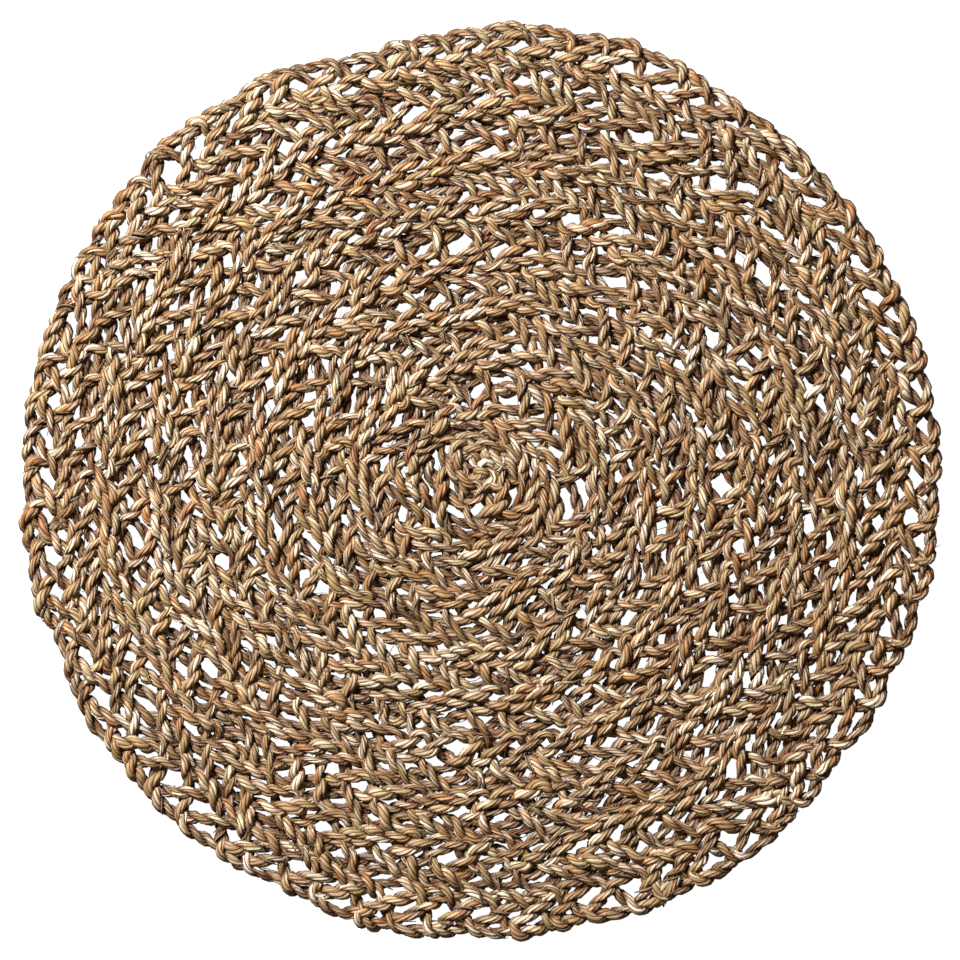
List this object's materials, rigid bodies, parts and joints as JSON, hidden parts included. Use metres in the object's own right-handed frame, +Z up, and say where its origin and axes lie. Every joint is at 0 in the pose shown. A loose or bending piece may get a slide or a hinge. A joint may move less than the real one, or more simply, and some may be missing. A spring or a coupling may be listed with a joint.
{
  "type": "seagrass placemat",
  "caption": "Round flat table mat of twisted seagrass cord, worked in nine plaited rounds with open gaps and a looped rim.",
  "frame": {"origin": "centre of the mat's outline, on its underside", "axes": "+Z up out of the table, +Y towards the top of the picture and +X to its right"},
  "size_m": [0.3704, 0.3694, 0.0082],
  "materials": {
    "seagrass": "matt twisted seagrass blades, tan with olive, cream and rust streaks"
  },
  "bodies": {
    "root": {"placemat": "seagrass"}
  },
  "joints": []
}
